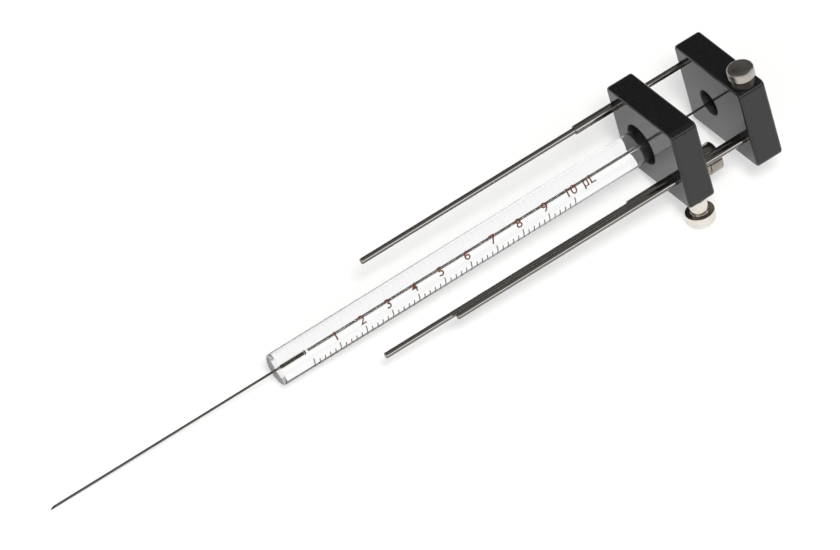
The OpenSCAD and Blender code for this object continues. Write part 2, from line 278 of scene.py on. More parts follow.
def curedCement(name, colour=(0.97, 0.965, 0.95), deep=(0.93, 0.92, 0.89)):
    # clear, and bonded to the glass: light crosses it without bending
    material, tree, shader = newMaterial(name)
    shader.inputs["Transmission Weight"].default_value = 1
    shader.inputs["IOR"].default_value = 1.0
    shader.inputs["Roughness"].default_value = 0.0
    cloud = noise(tree, objectSpace(tree, (1600, 2600, 2600)), 3, 0.6)
    tree.links.new(blendColours(tree, spread(tree, cloud, 0, 1), deep, colour),
                   shader.inputs["Base Color"])
    return material


black = blockBlack("gloss_black")
boreBlack = blockBlack("bored_black", (0.045, 0.045, 0.047),
                       (0.07, 0.07, 0.072), (0.35, 0.5))
rodSteel = drawnSteel("drawn_rod_steel")
sleeveSteel = drawnSteel("drawn_sleeve_steel", (0.56, 0.525, 0.49),
                         (0.05, 0.11))
# painted shade: the plunger wire and the needle are far darker copies of drawn steel, and the
# needle's root in the glass darker still
wireSteel = drawnSteel("plunger_wire_steel_painted_shade", (0.17, 0.15, 0.14),
                       (0.38, 0.5), (300, 9000, 9000), 0.8)
needleSteel = drawnSteel("needle_tube_steel_painted_shade", (0.19, 0.18, 0.17),
                         (0.3, 0.42), (500, 12000, 12000), 0.7)
needleRootPaintedShade = drawnSteel("needle_root_painted_shade", (0.1, 0.09, 0.085),
                        (0.4, 0.5), (500, 12000, 12000), 0.8)
springSteel = drawnSteel("spring_wire_steel", (0.5, 0.5, 0.5), (0.2, 0.35),
                         (9000, 9000, 9000))
darkSteelAndPaintedShade = drawnSteel("set_screw_steel_and_painted_shade", (0.2, 0.2, 0.205), (0.28, 0.42),
                        (9000, 9000, 9000))
glass = clearGlass("clear_glass")
groundEndPaintedShade = groundGlass("ground_glass_end_painted_shade")
ink = firedInk("fired_brown_ink")
cement = curedCement("cured_cement")
bondedGlass = curedCement("bonded_glass_wall", (0.99, 0.99, 0.98),
                          (0.96, 0.96, 0.94))
print("materials made")


def facing(way, place=(0, 0, 0)):
    # a matrix that turns +Z to way and moves the origin to place
    turn = Vector((0, 0, 1)).rotation_difference(Vector(way).normalized())
    return Matrix.Translation(place) @ turn.to_matrix().to_4x4()


def rounded(corners, closed=False, steps=6):
    # corners are (along, out, radius); each radius rounds its corner off
    count = len(corners)
    points = []
    for i, (along, out, radius) in enumerate(corners):
        here = Vector((along, out))
        ends = not closed and i in (0, count - 1)
        if radius <= 0 or ends:
            points.append(here)
            continue
        a = Vector(corners[i - 1][:2]) - here
        b = Vector(corners[(i + 1) % count][:2]) - here
        half = a.angle(b) / 2
        reach = min(radius / math.tan(half), a.length * 0.49, b.length * 0.49)
        radius = reach * math.tan(half)
        a.normalize()
        b.normalize()
        centre = here + (a + b).normalized() * radius / math.sin(half)
        start, end = here + a * reach - centre, here + b * reach - centre
        sweep = start.angle_signed(end)
        for k in range(steps + 1):
            turn = Matrix.Rotation(-sweep * k / steps, 2)
            points.append(centre + turn @ start)
    return points


def turned(bm, profile, matrix, closed=False, sides=96, shape=None):
    # spins (along, out) points round the matrix's own Z axis
    loops = []
    for along, out in profile:
        if out < 1e-6:
            loops.append([bm.verts.new(matrix @ Vector((0, 0, along)))])
            continue
        loop = []
        for k in range(sides):
            a = 2 * math.pi * k / sides
            r = shape(along, out, a) if shape else out
            loop.append(bm.verts.new(matrix @ Vector(
                (r * math.cos(a), r * math.sin(a), along))))
        loops.append(loop)
    pairs = list(zip(loops, loops[1:]))
    if closed:
        pairs.append((loops[-1], loops[0]))
    for first, second in pairs:
        for k in range(sides):
            m = (k + 1) % sides
            if len(first) == 1 and len(second) == 1:
                continue
            if len(first) == 1:
                bm.faces.new((first[0], second[m], second[k]))
            elif len(second) == 1:
                bm.faces.new((first[k], first[m], second[0]))
            else:
                bm.faces.new((first[k], first[m], second[m], second[k]))


def outward(bm):
    bmesh.ops.remove_doubles(bm, verts=bm.verts, dist=1e-5)
    bmesh.ops.recalc_face_normals(bm, faces=bm.faces)
    if bm.calc_volume(signed=True) < 0:
        bmesh.ops.reverse_faces(bm, faces=bm.faces)


def makeObject(name, bm, material, sharp=32):
    mesh = bpy.data.meshes.new(name)
    bm.to_mesh(mesh)
    bm.free()
    mesh.transform(toFrame)
    mesh.shade_smooth()
    mesh.set_sharp_from_angle(angle=math.radians(sharp))
    mesh.materials.append(material)
    piece = bpy.data.objects.new(name, mesh)
    bpy.context.scene.collection.objects.link(piece)
    return piece


def hold(piece, body, slot, *replaced):
    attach(piece, body)
    if replaced:
        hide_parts(*replaced)
    return piece


def bake(piece):
    # the modifiers' result becomes the piece's own mesh
    graph = bpy.context.evaluated_depsgraph_get()
    mesh = bpy.data.meshes.new_from_object(piece.evaluated_get(graph),
                                           depsgraph=graph)
    piece.modifiers.clear()
    old, piece.data = piece.data, mesh
    mesh.name = piece.name
    bpy.data.meshes.remove(old)


def cutWith(piece, cutter, inside=None):
    # cut, then flat faces kept flat; inside is the hole's own material
    bm = bmesh.new()
    cutter(bm)
    outward(bm)
    tool = makeObject(piece.name + "_tool", bm,
                      inside or piece.data.materials[0])
    cut = piece.modifiers.new("cut", "BOOLEAN")
    cut.operation, cut.solver, cut.object = "DIFFERENCE", "EXACT", tool
    cut.material_mode = "TRANSFER" if inside else "INDEX"
    cut.use_self = True
    bake(piece)
    bpy.data.objects.remove(tool)
    piece.data.shade_smooth()
    piece.data.set_sharp_from_angle(angle=math.radians(32))
    weigh = piece.modifiers.new("weigh", "WEIGHTED_NORMAL")
    weigh.keep_sharp, weigh.weight = True, 100
    bake(piece)


def bore(low, high, radius, way, place, mouthLow=0.0, mouthHigh=0.0,
         sides=96, over=0.6):
    # a hole's cutter, with its mouths rounded where it breaks a face
    def build(bm):
        profile = [(low - (over if mouthLow else 0), 0)]
        for mouth, at, sign in ((mouthLow, low, 1), (mouthHigh, high, -1)):
            arc = [(at, radius)]
            if mouth:
                arc = [(at - sign * over, radius + mouth)]
                for k in range(7):
                    a = math.pi / 2 * k / 6
                    arc.append((at + sign * mouth * (1 - math.cos(a)),
                                radius + mouth * (1 - math.sin(a))))
            profile += arc if sign > 0 else arc[::-1]
        profile.append((high + (over if mouthHigh else 0), 0))
        turned(bm, profile, facing(way, place), sides=sides)
    return build


barrelShape = {"rim": 0.3, "socketDepth": 6.1, "socketRadius": 0.45,
               "socketTaper": 0.35, "boreRadius": 0.23, "groundDown": 0.05,
               "sides": 160}


def makeBarrel():
    low, high = sizeOf("glass_barrel")
    blockLow, _ = sizeOf("barrel_block")
    flangeLow, _ = sizeOf("barrel_flange")
    radius = radiusOf("glass_barrel")
    s = barrelShape
    socketEnd = low.x + s["socketDepth"]
    corners = [(low.x, s["socketRadius"], 0.06), (low.x, radius, s["rim"]),
               (blockLow.x, radius, 0),
               (flangeLow.x, radius - s["groundDown"], 0),
               (high.x, radius - s["groundDown"], s["rim"]),
               (high.x, s["boreRadius"], 0.05),
               (socketEnd + s["socketTaper"], s["boreRadius"], 0),
               (socketEnd, s["socketRadius"], 0)]
    bm = bmesh.new()
    turned(bm, rounded(corners, True), facing((1, 0, 0)), True, s["sides"])
    outward(bm)
    piece = makeObject("clear_barrel", bm, glass)
    piece.data.materials.append(bondedGlass)
    piece.data.materials.append(groundEndPaintedShade)
    for face in piece.data.polygons:
        centre = toLocal @ face.center
        reach = math.hypot(centre.y, centre.z)
        if reach < s["socketRadius"] + 0.02 and centre.x < socketEnd:
            face.material_index = 1
        elif abs(face.normal.x) > 0.9 and centre.x < low.x + 0.1:
            face.material_index = 2
    return hold(piece, "barrel", "glass", "glass_barrel")


scaleShape = {"divisions": 50, "spacing": 1.2, "longEvery": 5,
              "foot": 215.0, "shortTop": 185.5, "longTop": 172.5,
              "width": 0.21, "thickness": 0.012, "lift": 0.002, "shift": -0.2}
numeralShape = {"size": 2.0, "height": 1.85, "widen": 1.1, "bold": 0.012,
                "baseline": 161.5, "shift": -0.4, "unitAt": 63.7,
                "thickness": 0.012, "lift": 0.002}


def tickTree():
    tree = bpy.data.node_groups.new("scale_ticks", "GeometryNodeTree")
    face = tree.interface
    face.new_socket("Geometry", in_out="INPUT",
                    socket_type="NodeSocketGeometry")
    kinds = {"Divisions": "NodeSocketInt", "Long Every": "NodeSocketInt",
             "Spacing": "NodeSocketFloat", "Radius": "NodeSocketFloat",
             "Foot": "NodeSocketFloat", "Short Top": "NodeSocketFloat",
             "Long Top": "NodeSocketFloat", "Width": "NodeSocketFloat",
             "Thickness": "NodeSocketFloat", "Ink": "NodeSocketMaterial"}
    for name, kind in kinds.items():
        face.new_socket(name, in_out="INPUT", socket_type=kind)
    face.new_socket("Geometry", in_out="OUTPUT",
                    socket_type="NodeSocketGeometry")
    given = tree.nodes.new("NodeGroupInput").outputs
    result = tree.nodes.new("NodeGroupOutput")

    def add(kind, links=None, **settings):
        node = tree.nodes.new(kind)
        for key, value in settings.items():
            setattr(node, key, value)
        for key, value in (links or {}).items():
            if isinstance(value, bpy.types.NodeSocket):
                tree.links.new(value, node.inputs[key])
            else:
                node.inputs[key].default_value = value
        return node

    def calc(operation, a, b):
        return add("ShaderNodeMath", {0: a, 1: b},
                   operation=operation).outputs[0]

    offset = add("ShaderNodeCombineXYZ", {"X": given["Spacing"]}).outputs[0]
    count = calc("ADD", given["Divisions"], 1)
    stations = add("GeometryNodeMeshLine",
                   {"Count": count, "Offset": offset}).outputs[0]
    index = add("GeometryNodeInputIndex").outputs[0]
    isLong = calc("LESS_THAN", calc("MODULO", index, given["Long Every"]), 0.5)
    isShort = calc("SUBTRACT", 1, isLong)
    section = add("GeometryNodeCurvePrimitiveQuadrilateral",
                  {"Width": given["Thickness"], "Height": given["Width"]})
    marks = []
    for top, chosen in ((given["Long Top"], isLong),
                        (given["Short Top"], isShort)):
        sweep = calc("SUBTRACT", given["Foot"], top)
        arc = add("GeometryNodeCurveArc", {
            "Resolution": 14, "Radius": given["Radius"],
            "Start Angle": calc("RADIANS", top, 0),
            "Sweep Angle": calc("RADIANS", sweep, 0)})
        strip = add("GeometryNodeCurveToMesh", {
            "Curve": arc.outputs[0], "Profile Curve": section.outputs[0],
            "Fill Caps": True})
        upright = add("GeometryNodeTransform", {
            "Geometry": strip.outputs[0],
            "Rotation": (math.pi / 2, 0, math.pi / 2)})
        placed = add("GeometryNodeInstanceOnPoints", {
            "Points": stations, "Selection": chosen,
            "Instance": upright.outputs[0]})
        marks.append(placed.outputs[0])
    joined = tree.nodes.new("GeometryNodeJoinGeometry")
    for mark in marks:
        tree.links.new(mark, joined.inputs[0])
    real = add("GeometryNodeRealizeInstances",
               {"Geometry": joined.outputs[0]})
    inked = add("GeometryNodeSetMaterial",
                {"Geometry": real.outputs[0], "Material": given["Ink"]})
    tree.links.new(inked.outputs[0], result.inputs[0])
    return tree


def makeTicks(radius):
    s = scaleShape
    piece = bpy.data.objects.new("scale_marks",
                                 bpy.data.meshes.new("scale_marks"))
    bpy.context.scene.collection.objects.link(piece)
    tree = tickTree()
    modifier = piece.modifiers.new("ticks", "NODES")
    modifier.node_group = tree
    values = {"Divisions": s["divisions"], "Long Every": s["longEvery"],
              "Spacing": s["spacing"],
              "Radius": radius + s["lift"] + s["thickness"] / 2,
              "Foot": s["foot"], "Short Top": s["shortTop"],
              "Long Top": s["longTop"], "Width": s["width"],
              "Thickness": s["thickness"], "Ink": ink}
    for socket in tree.interface.items_tree:
        if socket.in_out == "INPUT" and socket.name in values:
            modifier[socket.identifier] = values[socket.name]
    bake(piece)
    piece.data.transform(toFrame @ Matrix.Translation((s["shift"], 0, 0)))
    return hold(piece, "barrel", "glass")


def wrappedText(words, centre, radius):
    # flat words, cut fine and laid round the glass
    s = numeralShape
    curve = bpy.data.curves.new("words", "FONT")
    curve.body, curve.size = words, s["size"]
    curve.align_x = "CENTER"
    curve.extrude, curve.offset = s["thickness"] / 2, s["bold"]
    word = bpy.data.objects.new("words", curve)
    bpy.context.scene.collection.objects.link(word)
    graph = bpy.context.evaluated_depsgraph_get()
    mesh = bpy.data.meshes.new_from_object(word.evaluated_get(graph))
    bpy.data.objects.remove(word)
    bm = bmesh.new()
    bm.from_mesh(mesh)
    bpy.data.meshes.remove(mesh)
    bmesh.ops.remove_doubles(bm, verts=bm.verts, dist=1e-5)
    for _ in range(5):
        bmesh.ops.triangulate(bm, faces=bm.faces)
        wide = [e for e in bm.edges if e.calc_length() > 0.22]
        if not wide:
            break
        bmesh.ops.subdivide_edges(bm, edges=wide, cuts=1)
    bmesh.ops.triangulate(bm, faces=bm.faces)
    stretch = s["height"] / (s["size"] * 0.73)
    for v in bm.verts:
        along, up, out = v.co
        angle = math.radians(s["baseline"]) - up * stretch / radius
        r = radius + s["lift"] + s["thickness"] / 2 + out
        v.co = (centre + along * stretch * s["widen"], r * math.cos(angle),
                r * math.sin(angle))
    bmesh.ops.recalc_face_normals(bm, faces=bm.faces)
    return bm


def makeNumerals(radius):
    s = scaleShape
    step = s["spacing"] * s["longEvery"]
    words = [(str(k), step * k + numeralShape["shift"])
             for k in range(1, s["divisions"] // s["longEvery"] + 1)]
    words.append(("µL", numeralShape["unitAt"]))
    whole = bmesh.new()
    for text, centre in words:
        part = wrappedText(text, centre, radius)
        mesh = bpy.data.meshes.new("part")
        part.to_mesh(mesh)
        part.free()
        whole.from_mesh(mesh)
        bpy.data.meshes.remove(mesh)
    piece = makeObject("scale_numerals", whole, ink)
    return hold(piece, "barrel", "glass")


makeBarrel()
makeTicks(radiusOf("glass_barrel"))
makeNumerals(radiusOf("glass_barrel"))
print("barrel, scale and numerals made")


needleShape = {"bore": 0.0635, "pointAngle": 22.0, "taper": 0.015,
               "taperFrom": 0.25, "sides": 48}
wireShape = {"edge": 0.03, "sides": 48}


def makeNeedle():
    low, high = sizeOf("needle")
    glassLow, _ = sizeOf("glass_barrel")
    s = needleShape
    radius = radiusOf("needle")
    taperAt = glassLow.x + s["taperFrom"]
    corners = [(low.x, s["bore"], 0), (low.x, radius, 0),
               (taperAt, radius, 0),
               (high.x, radius - s["taper"], 0.02), (high.x, s["bore"], 0)]
    bm = bmesh.new()
    turned(bm, rounded(corners, True), facing((1, 0, 0)), True, s["sides"])
    outward(bm)
    slope = math.radians(s["pointAngle"])
    cut = bmesh.ops.bisect_plane(
        bm, geom=bm.verts[:] + bm.edges[:] + bm.faces[:],
        plane_co=(low.x, 0, -radius), clear_outer=True,
        plane_no=(-math.sin(slope), 0, math.cos(slope)))
    rim = [e for e in cut["geom_cut"] if isinstance(e, bmesh.types.BMEdge)]
    bmesh.ops.bridge_loops(bm, edges=rim)
    outward(bm)
    piece = makeObject("needle_tube", bm, needleSteel)
    # painted shade: the root inside the glass takes the darker copy of the steel
    piece.data.materials.append(needleRootPaintedShade)
    for face in piece.data.polygons:
        if (toLocal @ face.center).x > taperAt + 0.05:
            face.material_index = 1
    return hold(piece, "barrel", "steel", "needle")


def makeWire():
    low, high = sizeOf("plunger_wire")
    radius = radiusOf("plunger_wire")
    s = wireShape
    corners = [(low.x, 0, 0), (low.x, radius, s["edge"]),
               (high.x, radius, s["edge"]), (high.x, 0, 0)]
    bm = bmesh.new()
    turned(bm, rounded(corners), facing((1, 0, 0)), sides=s["sides"])
    outward(bm)
    piece = makeObject("plunger_rod_wire", bm, wireSteel)
    return hold(piece, "plunger", "steel", "plunger_wire")


def smoothCopy(node, name, body, slot, material, sharp=30):
    # a merged copy of a CAD node, for small pieces whose shape is right
    bm = bmesh.new()
    bm.from_mesh(nodes[node].data)
    bmesh.ops.remove_doubles(bm, verts=bm.verts, dist=1e-7)
    bm.transform(toLocal)
    piece = makeObject(name, bm, material, sharp)
    return hold(piece, body, slot, node)


makeNeedle()
makeWire()
smoothCopy("needle_cement", "needle_bond", "barrel", "epoxy", cement)
print("needle and plunger wire made")


rodShape = {"end": 0.16, "sides": 64}
sleeveShape = {"rim": 0.07, "gap": 0.06, "sides": 64}


def makeRod(node, name, body):
    low, high = sizeOf(node)
    centre = middle(node)
    radius = radiusOf(node)
    end = rodShape["end"] * radius * 2
    corners = [(low.x, 0, 0), (low.x, radius, end),
               (high.x, radius, end), (high.x, 0, 0)]
    bm = bmesh.new()
    turned(bm, rounded(corners), facing((1, 0, 0), (0, centre.y, centre.z)),
           sides=rodShape["sides"])
    outward(bm)
    piece = makeObject(name, bm, rodSteel)
    return hold(piece, body, "steel", node)


def makeSleeve(node, rod, name):
    low, high = sizeOf(node)
    centre = middle(node)
    outer = radiusOf(node)
    inner = radiusOf(rod) + sleeveShape["gap"]
    rim = sleeveShape["rim"]
    corners = [(low.x, inner, rim), (low.x, outer, rim),
               (high.x, outer, rim), (high.x, inner, rim)]
    bm = bmesh.new()
    turned(bm, rounded(corners, True),
           facing((1, 0, 0), (0, centre.y, centre.z)), True,
           sleeveShape["sides"])
    outward(bm)
    piece = makeObject(name, bm, sleeveSteel)
    return hold(piece, "barrel", "steel", node)


makeRod("upper_guide_rod", "upper_rod", "plunger")
makeRod("lower_guide_rod", "lower_rod", "plunger")
makeRod("stop_rod", "stop_bar", "stop_rod")
makeSleeve("upper_sleeve", "upper_guide_rod", "upper_rod_sleeve")
makeSleeve("lower_sleeve", "lower_guide_rod", "lower_rod_sleeve")
print("rods and sleeves made")


blockShape = {"corner": 1.1, "edge": 0.6, "mouth": 0.16, "steps": 6,
              "cornerSteps": 10, "window": 8.6, "plungerHole": 5.4,
              "smallMouth": 0.6, "seat": 0.02, "gap": 0.06}
# radii and depths of the holes for the screws and the push button
holeShape = {"thread": 1.51, "threadStart": 1.2, "threadEnd": 1.67,
             "dog": 0.66, "setScrew": 0.97, "bushingDepth": 3.0,
             "spring": 1.9, "pin": 1.06, "pinEnd": 0.31,
             "flangeSlack": 0.04, "flangeEnd": 0.05}


def roundedBlock(bm, low, high):
    # outline loops drawn in towards each large face round its edge over
    s = blockShape
    steps, n = s["steps"], s["cornerSteps"]
    ends = []
    for k in range(steps + 1):
        a = math.pi / 2 * k / steps
        ends.append((s["edge"] * (1 - math.sin(a)),
                     s["edge"] * (1 - math.cos(a))))
    levels = [(low.x + depth, inset) for inset, depth in ends]
    levels += [(high.x - depth, inset) for inset, depth in ends[::-1]]
    loops = []
    for x, inset in levels:
        r = s["corner"] - inset
        loop = []
        for q, (cy, cz) in enumerate((
                (high.y - s["corner"], high.z - s["corner"]),
                (low.y + s["corner"], high.z - s["corner"]),
                (low.y + s["corner"], low.z + s["corner"]),
                (high.y - s["corner"], low.z + s["corner"]))):
            for k in range(n + 1):
                a = math.pi / 2 * (q + k / n)
                loop.append(bm.verts.new((x, cy + r * math.cos(a),
                                          cz + r * math.sin(a))))
        loops.append(loop)
    for first, second in zip(loops, loops[1:]):
        for k in range(len(first)):
            m = (k + 1) % len(first)
            bm.faces.new((first[k], first[m], second[m], second[k]))
    bm.faces.new(loops[0])
    bm.faces.new(loops[-1])


def across(node):
    # (y, z) of a piece that runs along the barrel
    centre = middle(node)
    return centre.y, centre.z


def startBlock(node, name):
    low, high = sizeOf(node)
    bm = bmesh.new()
    roundedBlock(bm, low, high)
    outward(bm)
    return makeObject(name, bm, black), low, high


def makeFrontBlock():
    piece, low, high = startBlock("barrel_block", "front_block")
    s, h = blockShape, holeShape
    mouth, small = s["mouth"], s["mouth"] * s["smallMouth"]
    along, up, axis = (1, 0, 0), (0, 0, 1), (0, 0, 0)
    flangeLow, _ = sizeOf("barrel_flange")
    stopAt = across("stop_rod")
    cutters = [
        bore(low.x, high.x - 0.1, s["window"] / 2, along, axis, mouth),
        bore(flangeLow.x - h["flangeEnd"], high.x,
             radiusOf("barrel_flange") + h["flangeSlack"], along, axis,
             0, mouth)]
    for node, gap in (("upper_sleeve", s["seat"]), ("lower_sleeve", s["seat"]),
                      ("stop_rod", s["gap"])):
        cutters.append(bore(low.x, high.x, radiusOf(node) + gap, along,
                            (0, *across(node)), small, small, 64))
    cutters.append(bore(low.x + h["threadStart"], high.x, h["thread"], along,
                        (0, *across("flange_thumb_screw")), 0, mouth, 64))
    screwAt = (middle("stop_thumb_screw").x, stopAt[0], 0)
    cutters.append(bore(low.z, stopAt[1] - h["threadEnd"], h["thread"], up,
                        screwAt, mouth, 0, 64))
    cutters.append(bore(low.z + 1, stopAt[1], h["dog"], up, screwAt,
                        0, 0, 48))
    for cutter in cutters:
        cutWith(piece, cutter, boreBlack)
    return hold(piece, "barrel", "block", "barrel_block")


def makeRearBlock():
    piece, low, high = startBlock("plunger_block", "rear_block")
    s, h = blockShape, holeShape
    mouth, small = s["mouth"], s["mouth"] * s["smallMouth"]
    along, up = (1, 0, 0), (0, 0, 1)
    cutters = [bore(low.x, high.x, s["plungerHole"] / 2, along, (0, 0, 0),
                    mouth, mouth)]
    for rod, gap in (("upper_guide_rod", s["seat"]),
                     ("lower_guide_rod", s["seat"]), ("stop_rod", s["gap"])):
        cutters.append(bore(low.x, high.x, radiusOf(rod) + gap, along,
                            (0, *across(rod)), small, small, 64))
    bushingLow, bushingHigh = sizeOf("button_bushing")
    springLow, _ = sizeOf("button_spring")
    pin = middle("button_pin")
    pinAt = (pin.x, pin.y, 0)
    cutters += [
        bore(high.z - h["bushingDepth"], high.z,
             (bushingHigh.x - bushingLow.x) / 2 + s["seat"], up, pinAt,
             0, small, 64),
        bore(springLow.z, high.z - h["bushingDepth"] + 0.1, h["spring"], up,
             pinAt, 0, 0, 64),
        bore(across("stop_rod")[1] + h["pinEnd"], springLow.z + 0.1,
             h["pin"], up, pinAt, 0, 0, 64)]
    for screw in ("plunger_set_screw", "lower_rod_set_screw"):
        centre = middle(screw)
        top = sizeOf(screw)[1].z
        cutters.append(bore(low.z, top + 0.2, h["setScrew"], up,
                            (centre.x, centre.y, 0), small, 0, 48))
    centre = middle("upper_rod_set_screw")
    inner = sizeOf("upper_rod_set_screw")[0].y
    cutters.append(bore(inner - 0.2, high.y, h["setScrew"], (0, 1, 0),
                        (centre.x, 0, centre.z), 0, small, 48))
    for cutter in cutters:
        cutWith(piece, cutter, boreBlack)
    return hold(piece, "plunger", "block", "plunger_block")


makeFrontBlock()
makeRearBlock()
print("blocks made")


headShape = {"rim": 0.34, "inner": 0.1, "dishRadius": 2.1, "dishDepth": 0.12,
             "sides": 128}
buttonShape = {"rim": 0.85, "lower": 0.16, "dish": 1.7, "dishDepth": 0.06,
               "hole": 1.02}
# one nickel in lighter and darker copies: the push button, the flange screw between the blocks,
# the underside of the stop screw's head and the bushing under the button are painted darker, as
# painted shade
nickelColours = {"stop": (0.80, 0.755, 0.70), "under": (0.36, 0.32, 0.28),
                 "flange": (0.34, 0.305, 0.27), "button": (0.5, 0.465, 0.425),
                 "bushing": (0.13, 0.115, 0.1), "plunger": (0.72, 0.69, 0.65)}
threadShape = {"radius": 1.45, "pitch": 0.5, "depth": 0.16, "steps": 8}
stopScrewShape = {"face": 0.3, "collar": 1.8, "collarLength": 3.4,
                  "neck": 2.4, "dog": 0.6, "dogLength": 1.82}
flangeScrewShape = {"face": 0.3, "collar": 2.55, "head": 2.8, "neck": 2.7}
capShape = {"stem": 2.68, "edge": 0.4, "dish": 3.4, "dishDepth": 0.15,
            "sides": 128}


def nickelFor(name, way, place, tone, rough=(0.12, 0.22)):
    world = laid.to_3x3() @ Vector(way)
    turn = Vector((0, 0, 1)).rotation_difference(world).to_euler()
    return turnedNickel(name, toFrame @ Vector(place), turn,
                        nickelColours[tone], rough)


def threaded(bm, low, high, matrix, sides=48):
    # plain ends and a helical thread between them
    s = threadShape
    radius = s["radius"]
    count = max(8, round((high - low) / s["pitch"] * s["steps"]))

    def ridge(along, out, angle):
        fade = min(1, (along - low) / s["pitch"], (high - along) / s["pitch"])
        turn = (along / s["pitch"] - angle / (2 * math.pi)) % 1
        return out - s["depth"] * max(0, fade) * abs(turn * 2 - 1)

    profile = [(low, 0)] + [(low + (high - low) * k / count, radius)
                            for k in range(count + 1)] + [(high, 0)]
    turned(bm, profile, matrix, sides=sides, shape=ridge)


def headProfile(bottom, top, radius, neck):
    # from the neck out, round the head and in over a shallow dish
    s = headShape
    profile = rounded([(bottom, neck, 0), (bottom, radius, s["inner"]),
                       (top, radius, s["rim"]), (top, s["dishRadius"], 0)])
    return profile + [(top - s["dishDepth"] * (1 - (k / 8) ** 2),
                       s["dishRadius"] * k / 8) for k in range(7, -1, -1)]


def makeStopScrew():
    low, high = sizeOf("stop_thumb_screw")
    block, _ = sizeOf("barrel_block")
    centre = middle("stop_thumb_screw")
    s = stopScrewShape
    place = (centre.x, centre.y, 0)
    matrix = facing((0, 0, -1), place)
    radius = (high.x - low.x) / 2
    face = -block.z
    start, headAt = face + s["face"], face + s["collarLength"]
    bm = bmesh.new()
    profile = rounded([(start, 0, 0), (start, s["collar"], 0.12),
                       (headAt, s["collar"], 0.1), (headAt, s["neck"], 0)])
    profile += headProfile(headAt, -low.z, radius, s["neck"])[1:]
    turned(bm, profile, matrix, sides=headShape["sides"])
    thread = s["dogLength"] - middle("stop_rod").z
    threaded(bm, thread, face + 0.5, matrix)
    dog = rounded([(-high.z, 0, 0), (-high.z, s["dog"], 0.1),
                   (thread + 0.2, s["dog"], 0), (thread + 0.2, 0, 0)])
    turned(bm, dog, matrix, sides=40)
    outward(bm)
    piece = makeObject("stop_screw", bm,
                       nickelFor("nickel_stop_screw", (0, 0, -1), place,
                                 "stop"))
    # painted shade: the underside of the head, facing the block, takes a darker copy of the
    # nickel
    piece.data.materials.append(
        nickelFor("nickel_under_head_painted_shade", (0, 0, -1), place, "under"))
    for polygon in piece.data.polygons:
        spot = toLocal @ polygon.center
        out = math.hypot(spot.x - centre.x, spot.y - centre.y)
        if abs(spot.z + headAt) < 0.02 and out > s["collar"]:
            polygon.material_index = 1
    return hold(piece, "stop_screw", "bright", "stop_thumb_screw")


def makeFlangeScrew():
    low, high = sizeOf("flange_thumb_screw")
    _, block = sizeOf("barrel_block")
    place = (0, *across("flange_thumb_screw"))
    matrix = facing((1, 0, 0), place)
    s = flangeScrewShape
    start, headAt = block.x + s["face"], high.x - s["head"]
    bm = bmesh.new()
    profile = rounded([(start, 0, 0), (start, s["collar"], 0.12),
                       (headAt, s["collar"], 0.06), (headAt, s["neck"], 0)])
    profile += headProfile(headAt, high.x, radiusOf("flange_thumb_screw"),
                           s["neck"])[1:]
    turned(bm, profile, matrix, sides=headShape["sides"])
    threaded(bm, low.x, block.x + 0.5, matrix)
    outward(bm)
    # painted shade: a darker copy of the nickel for the screw that sits between the blocks
    piece = makeObject("flange_screw", bm,
                       nickelFor("nickel_flange_screw_painted_shade", (1, 0, 0), place,
                                 "flange"))
    return hold(piece, "flange_screw", "bright", "flange_thumb_screw")


def makePushButton():
    low, high = sizeOf("push_button")
    centre = middle("push_button")
    pinTop = sizeOf("button_pin")[1].z
    s = buttonShape
    radius = (high.x - low.x) / 2
    dish, top = s["dish"], high.z
    place = (centre.x, centre.y, 0)
    profile = rounded([(low.z, s["hole"], 0.05), (low.z, radius, s["lower"]),
                       (top, radius, s["rim"]), (top, dish, 0)])
    profile += [(top - s["dishDepth"] * (1 - (k / 10) ** 2), dish * k / 10)
                for k in range(9, -1, -1)]
    # hollow underneath, over the pin's end
    profile = [(pinTop + 0.05, 0), (pinTop + 0.05, s["hole"])] + profile
    bm = bmesh.new()
    turned(bm, profile, facing((0, 0, 1), place), sides=headShape["sides"])
    outward(bm)
    # painted shade: a darker copy of the nickel
    piece = makeObject("push_button_head", bm,
                       nickelFor("nickel_push_button_painted_shade", (0, 0, 1), place,
                                 "button", (0.26, 0.4)))
    return hold(piece, "push_button", "bright", "push_button")


def makePlungerButton():
    low, high = sizeOf("plunger_button")
    _, block = sizeOf("plunger_block")
    radius = radiusOf("plunger_button")
    s = capShape
    stem, edge, under = s["stem"], s["edge"], block.x + 0.02
    profile = rounded([(low.x, 0, 0), (low.x, stem, 0.1), (under, stem, 0),
                       (under, radius, edge), (high.x, radius, edge),
                       (high.x, s["dish"], 0)])
    profile += [(high.x - s["dishDepth"] * (1 - (k / 8) ** 2),
                 s["dish"] * k / 8) for k in range(7, -1, -1)]
    bm = bmesh.new()
    turned(bm, profile, facing((1, 0, 0)), sides=s["sides"])
    outward(bm)
    piece = makeObject("plunger_cap", bm,
                       nickelFor("nickel_plunger_cap", (1, 0, 0), (0, 0, 0),
                                 "plunger"))
    # the wire's hole, and the flat that the set screw presses on
    cutWith(piece, bore(low.x - 1, block.x + 0.42, 0.235, (1, 0, 0),
                        (0, 0, 0), sides=48))
    screw = middle("plunger_set_screw")
    cutWith(piece, bore(-3.7, -2.35, 1.0, (0, 0, 1),
                        (screw.x, screw.y, 0), sides=48))
    # painted shade: the stem's end, deep in the rear block's hole, takes the dark screw steel
    piece.data.materials.append(darkSteelAndPaintedShade)
    for face in piece.data.polygons:
        if (toLocal @ face.center).x < low.x + 2:
            face.material_index = 1
    return hold(piece, "plunger", "bright", "plunger_button")


